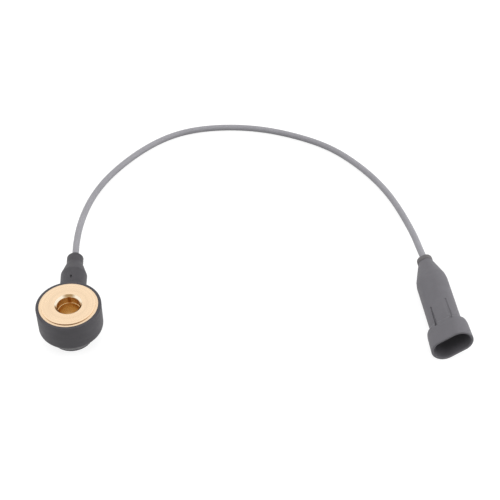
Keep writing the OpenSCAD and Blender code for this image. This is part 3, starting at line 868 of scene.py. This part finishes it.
@dataclass
class Head:
    """The brass sleeve in its moulded housing, with the cable neck."""

    bore_r: float = 4.2
    entry_r: float = 4.4
    entry_z: float = 14.05
    mouth_chamfer: float = 0.8
    tube_r: float = 6.2
    tube_chamfer: float = 0.3
    flange_r: float = 11.2
    flange_z: float = 14.8
    rim_z: float = 17.4
    land_r: float = 10.3
    top_z: float = 17.85
    broken_edge: float = 0.1
    fit: float = 0.05

    base_z: float = 0.1
    base_r: float = 8
    base_round: float = 0.2
    foot_top: float = 0.7
    cone_top: float = 6.5
    cone_r: float = 12.3
    housing_r: float = 12.4
    housing_top: float = 17.35
    rim_round: float = 0.35
    cone_round: float = 2.5
    foot_round: float = 0.15
    cap_r: float = 0.5
    cavity_r: float = 10.25
    cavity_low: float = 6

    neck_z: float = 8.8
    neck_root_r: float = 5.05
    neck_r: float = 5.2
    fillet: float = 1.1
    fillet_steps: int = 8
    fillet_sink: float = 0.04
    skirt: float = 0.6
    inside_y: float = 7.5
    root_y: float = 14.6
    shoulder_y: float = 23.9
    shoulder_round: float = 1.8
    boss_start: float = 29.9
    boss_stop: float = 33.8
    boss_r: float = 3.3
    boss_blend: float = 4
    boss_round: float = 0.5
    neck_end: float = 35.7
    end_r: float = 1.8
    end_round: float = 0.25
    hub_r: float = 0.4
    over: float = 1
    bore_start: float = 25.7
    lead_bore_r: float = 1.4
    pin_x: float = -0.4
    pin_y: float = 18.7
    pin_w: float = 0.7
    pin_l: float = 1.8
    pin_depth: float = 0.5

    brass_sides: int = 256
    housing_sides: int = 192
    neck_sides: int = 128
    sleeve_angle: float = 22
    edge_steps: int = 4
    side_steps: int = 12
    neck_steps: int = 10
    pin_steps: int = 12

    def build(self) -> None:
        """Builds the sleeve and the housing, and dresses what lies inside them."""
        self.build_sleeve()
        self.build_housing()
        dress(FILM, "insulating_tube", "upper_insulating_washer", "lower_insulating_washer")
        dress(COPPER, "signal_contact_ring", "ground_contact_ring")
        dress(COPPER, "signal_splice", "ground_splice")
        dress(CERAMIC, "piezo_ring")
        dress(STEEL, "seismic_mass", "disc_spring", "retaining_nut")
        dress(SIGNAL_CORE, "signal_core_head")
        dress(GROUND_CORE, "ground_core_head")

    def build_sleeve(self) -> None:
        """Turns the brass sleeve with every edge slightly broken."""
        e = self.broken_edge
        outline = rounded([
            (self.bore_r, 0, e), (self.tube_r - self.tube_chamfer, 0, e),
            (self.tube_r, self.tube_chamfer, e), (self.tube_r, self.flange_z, e),
            (self.flange_r, self.flange_z, e), (self.flange_r, self.rim_z, e),
            (self.land_r, self.rim_z, e), (self.land_r, self.top_z, e),
            (self.entry_r + self.mouth_chamfer, self.top_z, e),
            (self.entry_r, self.top_z - self.mouth_chamfer, e),
            (self.entry_r, self.entry_z, e / 2), (self.bore_r, self.entry_z, e / 2),
        ], self.edge_steps, closed=True)
        sleeve = turned("brass_sleeve", outline, self.brass_sides, closed=True)
        finish_shading(sleeve, self.sleeve_angle)
        settle(sleeve, BRASS, "flanged_sleeve")

    def side_outline(self) -> np.ndarray:
        """Draws the housing's side.

        Returns:
            Its outline, radius and height, from its base to its top.
        """
        return rounded([
            (self.cap_r, self.base_z, 0),
            (self.base_r, self.base_z, self.base_round),
            (self.base_r, self.foot_top, self.foot_round),
            (self.cone_r, self.cone_top, self.cone_round),
            (self.housing_r, self.housing_top, self.rim_round),
            (self.cap_r, self.housing_top, 0),
        ], self.side_steps)

    def build_housing(self) -> None:
        """Moulds the housing: a turned body and the neck, joined, hollowed and marked."""
        housing = turned("moulded_housing", self.side_outline(), self.housing_sides)
        cut(housing, self.neck_solid(), Cut.ADD)
        for tool in (self.cavity_solid(), self.lead_bore_solid(), self.pin_solid()):
            cut(housing, tool, Cut.REMOVE)
        finish_shading(housing)
        settle(housing, HOUSING, "sensor_housing")

    def body_y(self, x: np.ndarray, z: np.ndarray) -> np.ndarray:
        """Finds how far behind the bore's axis the body's skin lies.

        Args:
            x: Places beside the axis.
            z: Their heights.

        Returns:
            The distance at each place.
        """
        rising = self.side_outline()[1:-1]
        radius = np.interp(z, rising[:, 1], rising[:, 0])
        return np.sqrt(np.maximum(radius ** 2 - x ** 2, 0))

    def neck_ring(self, radius: float, y: float) -> np.ndarray:
        """Returns a circle about the neck's axis."""
        aside, up, along = turned_ring(radius, y, self.neck_sides).T
        return np.column_stack([aside, along, self.neck_z + up])

    def on_body(self, radius: float, sink: float) -> np.ndarray:
        """Lays a circle about the neck's axis on the body's skin.

        Args:
            radius: The circle's radius.
            sink: How far it sinks into the body.

        Returns:
            The circle's points.
        """
        ring = self.neck_ring(radius, 0)
        ring[:, 1] = self.body_y(ring[:, 0], ring[:, 2]) - sink
        return ring

    def neck_solid(self) -> Thing:
        """Makes the neck, whose root runs out over the body in a fillet.

        Returns:
            The neck as a closed solid that reaches into the body.
        """
        foot = self.on_body(self.neck_root_r + self.fillet, self.fillet_sink)
        corner = self.on_body(self.neck_root_r, 0)
        start = corner + np.array([0, self.fillet, 0])
        rings = [self.neck_ring(self.neck_root_r + self.fillet, self.inside_y),
                 foot - np.array([0, self.skirt, 0]), foot]
        for k in range(1, self.fillet_steps + 1):
            t = k / self.fillet_steps
            rings.append((1 - t) ** 2 * foot + 2 * t * (1 - t) * corner + t * t * start)
        outline = rounded([
            (self.root_y, self.neck_root_r, 0),
            (self.shoulder_y, self.neck_r, self.shoulder_round),
            (self.boss_start, self.boss_r, self.boss_blend),
            (self.boss_stop, self.boss_r, self.boss_round),
            (self.neck_end, self.end_r, self.end_round),
            (self.neck_end, self.hub_r, 0),
        ], self.neck_steps)
        rings += [self.neck_ring(r, y) for y, r in outline]
        return piece("neck", *strip(rings))

    def cavity_solid(self) -> Thing:
        """Makes the room that the moulding leaves for the sleeve and the sensing stack.

        Returns:
            The room as a closed solid.
        """
        tube, flange = self.tube_r + self.fit, self.flange_r + self.fit
        above = self.top_z + self.over
        outline = [
            (self.hub_r, -self.over), (tube, -self.over), (tube, self.cavity_low),
            (self.cavity_r, self.cavity_low), (self.cavity_r, self.flange_z),
            (flange, self.flange_z), (flange, above), (self.hub_r, above),
        ]
        return turned("cavity", outline, self.housing_sides)

    def lead_bore_solid(self) -> Thing:
        """Makes the hole in which the lead's jacket sits.

        Returns:
            The hole as a closed solid.
        """
        ends = self.bore_start, self.neck_end + self.over
        rings = [self.neck_ring(self.lead_bore_r, y) for y in ends]
        return piece("lead_bore", *strip(rings))

    def pin_solid(self) -> Thing:
        """Makes the mark that the mould's holding pin leaves on top of the neck.

        Returns:
            The mark as a closed solid.
        """
        top = self.neck_z + self.neck_r
        rings = []
        for z in (top - self.pin_depth, top + self.over):
            ring = stadium_ring(self.pin_l, self.pin_w, z, self.pin_steps)
            x, y = self.pin_x - ring[:, 1], self.pin_y + ring[:, 0]
            rings.append(np.column_stack([x, y, ring[:, 2]]))
        return piece("pin", *strip(rings))


@dataclass(frozen=True)
class Groove:
    """One keying groove: its sideways place, its length, and its width and depth at the shoulder.

    The slant is the share of the width over which its outer wall slopes down to the floor.
    """

    place: float
    length: float
    width: float
    depth: float
    slant: float = 0


@dataclass
class Connector:
    """The two-way connector at the lead's end, in its own axes: Z from rear lip to mouth, Y up."""

    length: float = 49.4
    body_w: float = 12.8
    body_t: float = 8.9
    shroud_w: float = 16.9
    shroud_t: float = 10.5
    shroud_wall: float = 1
    shroud_l: float = 7.6
    shroud_draft: float = 0.2
    shoulder_l: float = 2.9
    body_start: float = 14.9
    body_wall: float = 1.2
    ease_start: float = 12.2
    ease_w: float = 0.7
    ease_t: float = 0.42
    turn_share: float = 0.4
    turn_growth: float = 0.85
    body_rounds: tuple[float, ...] = (2, 3, 0.8, 1.2, 2.2)
    tail_w: float = 6
    tail_t: float = 4.9
    shell_start: float = 2.5
    mouth_round: float = 0.35
    edge_steps: int = 6
    socket_depth: float = 18
    ledge_back: float = 0.6
    ledge_edge: tuple[Span, ...] = ((0, 0.2), (0.1, 0.06), (0.4, 0))
    carrier_l: float = 6
    lock_w: float = 5.2
    lock_h: float = 1.3
    lock_l: float = 4
    lock_back_gap: float = 2
    lock_flat: float = 0.3
    lock_ease: float = 0.12
    lock_round: float = 0.5
    grooves: tuple[Groove, Groove] = (
        Groove(-2.2, 10.5, 1, 0.75), Groove(4.1, 11.6, 1.1, 0.6, 0.7))
    groove_lap: float = 1.8
    groove_lift: float = 0.05
    groove_share: float = 0.5
    lip_w: float = 6.4
    lip_t: float = 5.4
    lip_round: float = 0.7
    lip_slope: float = 0.3
    slope_shares: tuple[float, ...] = (1, 0.92, 0.75, 0.4, 0.1, 0)
    flare: float = 0.15
    tail_fit: float = 0.04
    seal_r: float = 1.95
    seal_end: float = 8.1
    lead_r: float = 1.35
    fit: float = 0.05
    pitch: float = 5.2
    crimp_r: float = 1.1
    crimp_start: float = 18.5
    channel_t: float = 1.1
    lap: float = 0.5
    jacket_end: float = 9
    x: float = 140.8
    y: float = 30.4
    heading: float = 3.4
    half_sides: int = 40
    side_steps: int = 8
    lock_steps: int = 5
    lip_steps: int = 8
    closest: float = 0.03
    over: float = 1

    def lowest(self, width: float, thickness: float, roll: float) -> float:
        """Returns how far a section rolled by an angle in radians reaches below the axis."""
        return (width - thickness) / 2 * math.sin(roll) + thickness / 2

    def rear_size(self) -> Span:
        """Returns the shroud's width and thickness at its rear edge."""
        return self.shroud_w - 2 * self.shroud_draft, self.shroud_t - 2 * self.shroud_draft

    def tilt(self, roll: float) -> float:
        """Returns how steeply the axis rises towards the mouth for a roll, in radians."""
        rise = self.lowest(*self.rear_size(), roll) - self.lowest(self.body_w, self.body_t, roll)
        return math.asin(rise / (self.length - self.shroud_l - self.body_start))

    def roll(self, tilt: float) -> float:
        """Finds the roll at which the lock ramp's edge touches the table.

        Args:
            tilt: How steeply the axis rises, in radians.

        Returns:
            The roll in radians.
        """
        rear_w, rear_t = self.rear_size()
        up = self.shroud_t / 2 + self.lock_h
        side = (rear_w - rear_t - self.lock_w) / 2
        ahead = self.lock_back() - (self.length - self.shroud_l)
        height = rear_t / 2 + ahead * math.sin(tilt)
        return math.acos(height / math.hypot(up, side)) - math.atan2(side, up)

    def lock_back(self) -> float:
        """Returns where the lock ramp's rear end is."""
        return self.length - self.lock_back_gap - self.lock_l

    def place(self) -> Matrix:
        """Lays the connector on the table.

        Returns:
            The matrix from its own axes to the row frame, in millimetres.
        """
        roll = self.roll(self.tilt(self.roll(0)))
        tilt = self.tilt(roll)
        z = self.lowest(self.body_w, self.body_t, roll) - self.body_start * math.sin(tilt)
        heading = Matrix.Rotation(math.radians(self.heading), 4, "Z")
        lie = heading @ Matrix.Rotation(math.pi / 2 - tilt, 4, "X")
        return Matrix.Translation((self.x, self.y, z)) @ lie @ Matrix.Rotation(roll, 4, "Z")

    def on_axis(self, s: float) -> np.ndarray:
        """Returns the point of the axis that far from the rear lip, in the row frame."""
        return np.array(self.place() @ Vector((0, 0, s)))

    def ring(self, width: float, thickness: float, s: float) -> np.ndarray:
        """Returns one section of the connector."""
        return stadium_ring(width, thickness, s, self.half_sides)

    def solid(self, name: str, rings: list[np.ndarray], closed: bool = False) -> Thing:
        """Makes a piece from sections in the connector's own axes, and lays it in its place."""
        return piece(name, *strip(rings, closed), self.place())

    def build(self) -> list[Thing]:
        """Builds the shell and the seal, and dresses the nodes inside.

        Returns:
            Every piece of the connector.
        """
        return [
            self.build_shell(), self.build_seal(), *dress(CONNECTOR, "terminal_carrier"),
            *dress(TIN, "signal_terminal", "ground_terminal"),
            *dress(SIGNAL_CORE, "signal_core_plug"), *dress(GROUND_CORE, "ground_core_plug"),
        ]

    def outer_sections(self) -> list[np.ndarray]:
        """Shapes the outside from the shell's rear face to the shroud's mouth.

        Returns:
            The sections, in order.
        """
        shroud = self.length - self.shroud_l
        shoulder = shroud - self.shoulder_l
        turn = shoulder + self.shoulder_l * self.turn_share
        rear_w, rear_t = self.rear_size()

        def outline(tail: float, ease: float, body: float, rear: float, mouth: float) -> np.ndarray:
            """Draws the shell's side, for its width or for its thickness.

            Args:
                tail: Half the size at the rear face.
                ease: How much smaller the size is where the taper eases.
                body: Half the size of the body.
                rear: Half the size at the shroud's rear edge.
                mouth: Half the size at the mouth.

            Returns:
                Places along the shell and half sizes.
            """
            turned = body + (rear - body) * self.turn_growth
            places = (self.shell_start, self.ease_start, self.body_start, shoulder, turn, shroud,
                      self.length - self.mouth_round)
            halves = (tail, body - ease / 2, body, body, turned, rear, mouth)
            return rounded(list(zip(places, halves, (0, *self.body_rounds, 0))), self.side_steps)

        body_w, body_t = self.body_w / 2, self.body_t / 2
        wide = outline(self.tail_w / 2, self.ease_w, body_w, rear_w / 2, self.shroud_w / 2)
        thick = outline(self.tail_t / 2, self.ease_t, body_t, rear_t / 2, self.shroud_t / 2)
        places = np.unique(np.round(np.concatenate([wide[:, 0], thick[:, 0]]), 2))
        places = places[np.concatenate([[True], np.diff(places) > self.closest])]
        half_w = np.interp(places, wide[:, 0], wide[:, 1])
        half_t = np.interp(places, thick[:, 0], thick[:, 1])
        return [self.ring(2 * w, 2 * t, s) for w, t, s in zip(half_w, half_t, places)]

    def socket_size(self) -> Span:
        """Returns the socket's width and thickness."""
        return self.shroud_w - 2 * self.shroud_wall, self.shroud_t - 2 * self.shroud_wall

    def rim_sections(self) -> list[np.ndarray]:
        """Rounds the rim of the mouth.

        Returns:
            The sections over it, from outside to inside.
        """
        rings = []
        socket_w, socket_t = self.socket_size()
        r = self.mouth_round
        for sine, cosine in quarter(self.edge_steps)[1:]:
            shrink, s = 2 * r * (1 - cosine), self.length - r * (1 - sine)
            rings.append(self.ring(self.shroud_w - shrink, self.shroud_t - shrink, s))
        for sine, cosine in quarter(self.edge_steps):
            grow, s = 2 * r * (1 - sine), self.length - r * (1 - cosine)
            rings.append(self.ring(socket_w + grow, socket_t + grow, s))
        return rings

    def inner_sections(self) -> list[np.ndarray]:
        """Shapes the inside from the socket's mouth back to the shell's rear face.

        Returns:
            The sections, in order.
        """
        socket_w, socket_t = self.socket_size()
        pocket_w, pocket_t = self.body_w - 2 * self.body_wall, self.body_t - 2 * self.body_wall
        ledge = self.length - self.shroud_l - self.ledge_back
        hole, seat = 2 * (self.lead_r + self.fit), 2 * (self.seal_r + self.fit)
        sizes = [(socket_w - a, socket_t - a, ledge + b) for a, b in self.ledge_edge]
        sizes += [(pocket_w + a, pocket_t + a, ledge - b) for a, b in reversed(self.ledge_edge)]
        sizes += [
            (pocket_w, pocket_t, self.floor()), (hole, hole, self.floor()),
            (hole, hole, self.seal_end + self.fit), (seat, seat, self.seal_end + self.fit),
            (seat, seat, self.shell_start),
        ]
        return [self.ring(w, t, s) for w, t, s in sizes]

    def floor(self) -> float:
        """Returns where the pocket behind the terminals' carrier ends."""
        return self.length - self.socket_depth - self.carrier_l

    def build_shell(self) -> Thing:
        """Moulds the shell with its shroud, lock ramp and two grooves.

        Returns:
            The shell.
        """
        rings = self.outer_sections() + self.rim_sections() + self.inner_sections()
        shell = self.solid("connector_moulded_shell", rings, closed=True)
        cut(shell, self.lock_solid(), Cut.ADD)
        for groove in self.grooves:
            cut(shell, self.groove_solid(groove), Cut.REMOVE)
        wires = [self.ring(self.pitch + self.channel_t, self.channel_t, s)
                 for s in (self.jacket_end, self.crimp_start + self.lap)]
        cut(shell, self.solid("channel", wires), Cut.REMOVE)
        across = 2 * self.crimp_r + 2 * self.fit
        ends = self.crimp_start, self.floor() + self.lap
        for side in Side:
            aside = np.array([side.value * self.pitch / 2, 0, 0])
            barrel = [self.ring(across, across, s) + aside for s in ends]
            cut(shell, self.solid("barrel", barrel), Cut.REMOVE)
        finish_shading(shell)
        return settle(shell, CONNECTOR, "connector_shell")

    def lock_solid(self) -> Thing:
        """Makes the ramp under the shroud that the plug's latch hooks behind.

        Returns:
            The ramp as a closed solid.
        """
        face, back = self.shroud_t / 2, self.lock_back()
        low, high = face - self.shroud_wall / 2, face + self.lock_h
        half, ease = self.lock_w / 2, self.lock_ease
        outline = rounded([
            (back, low, 0), (back, high, ease),
            (back + self.lock_l * self.lock_flat, high, self.lock_round),
            (back + self.lock_l, face, 0), (back + self.lock_l, low, 0),
        ], self.lock_steps, closed=True)
        rings = []
        for x, shrink in ((-half, ease), (ease - half, 0), (half - ease, 0), (half, ease)):
            deep = np.maximum(outline[:, 1] - shrink, low)
            rings.append(np.column_stack([np.full(len(outline), x), -deep, outline[:, 0]]))
        return self.solid("lock", rings)

    def groove_solid(self, groove: Groove) -> Thing:
        """Makes the solid that cuts one groove, which is narrower and shallower at its rear.

        Args:
            groove: The groove's place and sizes.

        Returns:
            The closed solid.
        """
        rim = abs(groove.place) - (self.body_w - self.body_t) / 2
        top = math.sqrt((self.body_t / 2) ** 2 - rim * rim) if rim > 0 else self.body_t / 2
        end = self.length - self.shroud_l - self.shoulder_l + self.groove_lap
        rings = []
        for share, s in ((self.groove_share, end - groove.length), (1, end)):
            half, floor = groove.width / 2 * share, top - groove.depth * share
            left, right, above = groove.place - half, groove.place + half, top + self.over
            corners = ((left + 2 * half * groove.slant, floor), (right, floor), (right, above),
                       (left, above), (left, top + self.groove_lift))
            rings.append(np.array([(x, y, s) for x, y in corners]))
        return self.solid("groove", rings)

    def build_seal(self) -> Thing:
        """Moulds the rubber seal with its rounded lip behind the shell.

        Returns:
            The seal.
        """
        hole, core = 2 * (self.lead_r + self.fit), 2 * self.seal_r
        flare = hole + 2 * self.flare
        rings = [self.ring(hole, hole, self.seal_end), self.ring(hole, hole, self.flare),
                 self.ring(flare, flare, 0)]
        for sine, cosine in quarter(self.lip_steps):
            shrink, s = 2 * self.lip_round * (1 - sine), self.lip_round * (1 - cosine)
            rings.append(self.ring(self.lip_w - shrink, self.lip_t - shrink, s))
        tail_w, tail_t = self.tail_w + self.tail_fit, self.tail_t + self.tail_fit
        for share in self.slope_shares:
            w, t = tail_w + (self.lip_w - tail_w) * share, tail_t + (self.lip_t - tail_t) * share
            rings.append(self.ring(w, t, self.shell_start - self.lip_slope * share ** 2))
        rings += [self.ring(core, core, self.shell_start), self.ring(core, core, self.seal_end)]
        seal = self.solid("rear_rubber_seal", rings, closed=True)
        finish_shading(seal)
        return settle(seal, SEAL, "rear_seal")


@dataclass
class Lead:
    """The grey lead, from inside the neck, over the table, to inside the connector."""

    radius: float = Connector.lead_r
    fit: float = 0.05
    neck_z: float = Head.neck_z
    neck_end: float = Head.neck_end
    neck_grip: float = 10
    plug_grip: float = Connector.jacket_end
    samples: int = 5
    bevel_steps: int = 6
    passes: int = 60
    evening: Span = (0.5, -0.5)
    # x and y on the table, and the lift above lying flat on it
    laid: list[Point3] = field(default_factory=lambda: [
        (0, 43.6, 7), (0.6, 53.8, 5.8), (1.9, 66.2, 2.8), (5, 79.5, 0.7), (10.9, 92.1, 0),
        (19.6, 103.6, 0), (30, 113.8, 0), (42.3, 121.3, 0), (56.1, 124.4, 0), (70.5, 124.2, 0),
        (84.5, 121.1, 0), (97.8, 115.3, 0), (109.7, 107.7, 0), (119.4, 97.2, 0), (127.5, 85, 0),
        (133.4, 71.9, 0), (137.2, 58, 0.4), (139.1, 45.4, 2.2), (139.9, 37.4, 3)])

    def route(self, connector: Connector) -> np.ndarray:
        """Works out the lead's centreline.

        Args:
            connector: The connector that it runs into.

        Returns:
            The centreline's points in millimetres, one row each.
        """
        neck = [(0, self.neck_end - grip, self.neck_z) for grip in (self.neck_grip, 0)]
        over = [(x, y, self.radius + self.fit + lift) for x, y, lift in self.laid]
        end = [connector.on_axis(s) for s in (0, self.plug_grip)]
        p = np.array([*neck, *over, *end], float)
        points = [p[0]]
        for i in range(1, len(p) - 2):
            a, b, c, d = p[i - 1:i + 3]
            for k in range(self.samples):
                t = k / self.samples
                points.append(b + (c - a) * t / 2 + (2 * a - 5 * b + 4 * c - d) * t ** 2 / 2
                              + (3 * b - a - 3 * c + d) * t ** 3 / 2)
        return self.evened(np.array([*points, p[-2], p[-1]]))

    def evened(self, points: np.ndarray) -> np.ndarray:
        """Takes the small kinks out of a centreline without shortening its arc.

        Args:
            points: The centreline's points, whose ends are held and stay as they are.

        Returns:
            The evened points, none of them lower than the lowest was.
        """
        line = points.copy()
        held = self.samples
        for share in self.evening * self.passes:
            bend = (line[:-2] + line[2:]) / 2 - line[1:-1]
            bend[:held] = 0
            bend[-2:] = 0
            line[1:-1] += share * bend
        line[:, 2] = np.maximum(line[:, 2], points[:, 2].min())
        return line

    def build(self, connector: Connector, hanging: list[Thing]) -> None:
        """Args:
            connector: The connector that it runs into.
            hanging: Not used.
        """
        route = self.route(connector)
        line = bpy.data.curves.new("lead_jacket", "CURVE")
        line.dimensions = "3D"
        line.bevel_depth = self.radius * MM
        line.bevel_resolution = self.bevel_steps
        line.use_fill_caps = True
        spline = line.splines.new("POLY")
        spline.points.add(len(route) - 1)
        for point, place in zip(spline.points, route * MM):
            point.co = (*place, 1)
        spline.use_smooth = True
        lead = settle(new_object("lead_jacket", line), JACKET, "cable_jacket")


@dataclass(frozen=True)
class Lamp:
    """One soft light, aimed at the middle of the object."""

    name: str
    place: Point3
    size: float
    power: float

    def build(self, target: Vector) -> None:
        """Hangs the light and turns it to the object.

        Args:
            target: The point that it looks at, in metres.
        """
        data = bpy.data.lights.new(self.name, "AREA")
        data.shape = "SQUARE"
        data.size = self.size
        data.energy = self.power
        lamp = new_object(self.name, data)
        # the brass mirrors the white background only, also where a lamp hangs in front of it
        lamp.visible_glossy = False
        lamp.location = self.place
        aim(lamp, target)


@dataclass
class Studio:
    """The pale floor, the soft lights and the camera at the photograph's angle."""

    camera_place: Point3 = (52.318, -319.406, 351.08)
    camera_target: Point3 = (70.744, 44.327, 0)
    lens: float = 87.84
    sensor: float = 36
    sight: Span = (0.01, 20)
    aim: Point3 = (0.07, 0.05, 0)
    floor_size: float = 6
    floor_colour: Point3 = (0.3, 0.3, 0.3)
    floor_glow: float = 0.8
    floor_roughness: float = 0.9
    front_level: float = 0.1
    back_level: float = 1.0
    lamps: tuple[Lamp, ...] = (
        Lamp("top_softbox", (-0.1, 0.0, 1.0), 1.2, 4.6),
        Lamp("right_softbox", (1.15, -0.1, 0.5), 0.9, 10.0),
        Lamp("left_softbox", (-0.95, -0.15, 0.42), 0.75, 4.2),
        Lamp("front_softbox", (0.22, -0.9, 0.32), 0.55, 0.8),
    )

    def build(self) -> None:
        """Sets up the camera, the floor, the world and the lights."""
        self.build_camera()
        self.build_floor()
        self.build_world()
        for lamp in self.lamps:
            lamp.build(Vector(self.aim))
        bpy.context.scene.view_settings.view_transform = "Standard"
        LOG.info("studio is set with %d lights", len(self.lamps))

    def build_camera(self) -> None:
        """Puts the camera where the photograph was taken from."""
        data = bpy.data.cameras.new("camera")
        data.lens = self.lens
        data.sensor_width = self.sensor
        data.clip_start, data.clip_end = self.sight
        camera = new_object("camera", data)
        camera.location = Vector(self.camera_place) * MM
        aim(camera, Vector(self.camera_target) * MM)
        bpy.context.scene.camera = camera

    def build_floor(self) -> None:
        """Lays the pale floor, which keeps the object's shadow."""
        half = self.floor_size / 2 / MM
        corners = np.array([[-half, -half, 0], [half, -half, 0], [half, half, 0], [-half, half, 0]])
        floor = piece("floor", corners, [[0, 1, 2, 3]])
        recipe = Recipe("floor_paper")
        recipe.surface(self.floor_colour, self.floor_roughness, Specular_IOR_Level=0,
                       Emission_Color=WHITE)
        glow = recipe.maths("MULTIPLY", recipe.shown_background(), self.floor_glow)
        recipe.give("Emission Strength", glow)
        floor.data.materials.append(recipe.material)

    def build_world(self) -> None:
        """Lights the scene from all round, more from behind, and shows the background as white."""
        world = bpy.data.worlds.new("studio")
        bpy.context.scene.world = world
        world.use_nodes = True
        nodes = Nodes(world.node_tree)
        background = nodes.tree.nodes["Background"]
        direction = nodes.add("ShaderNodeTexCoord").outputs["Generated"]
        behind = nodes.coordinate(direction, "Y")
        light = nodes.sweep(behind, -1, 1, self.front_level, self.back_level)
        nodes.feed(WHITE, background.inputs["Color"])
        strength = nodes.sweep(nodes.shown_background(), 0, 1, light)
        nodes.feed(strength, background.inputs["Strength"])


def main() -> None:
    """Builds the sensor and the studio."""
    logging.basicConfig(level=logging.INFO, format="%(name)s: %(message)s")
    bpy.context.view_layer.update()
    connector = Connector()
    Lead().build(connector, connector.build())
    Head().build()
    Studio().build()


if __name__ == "__main__":
    main()
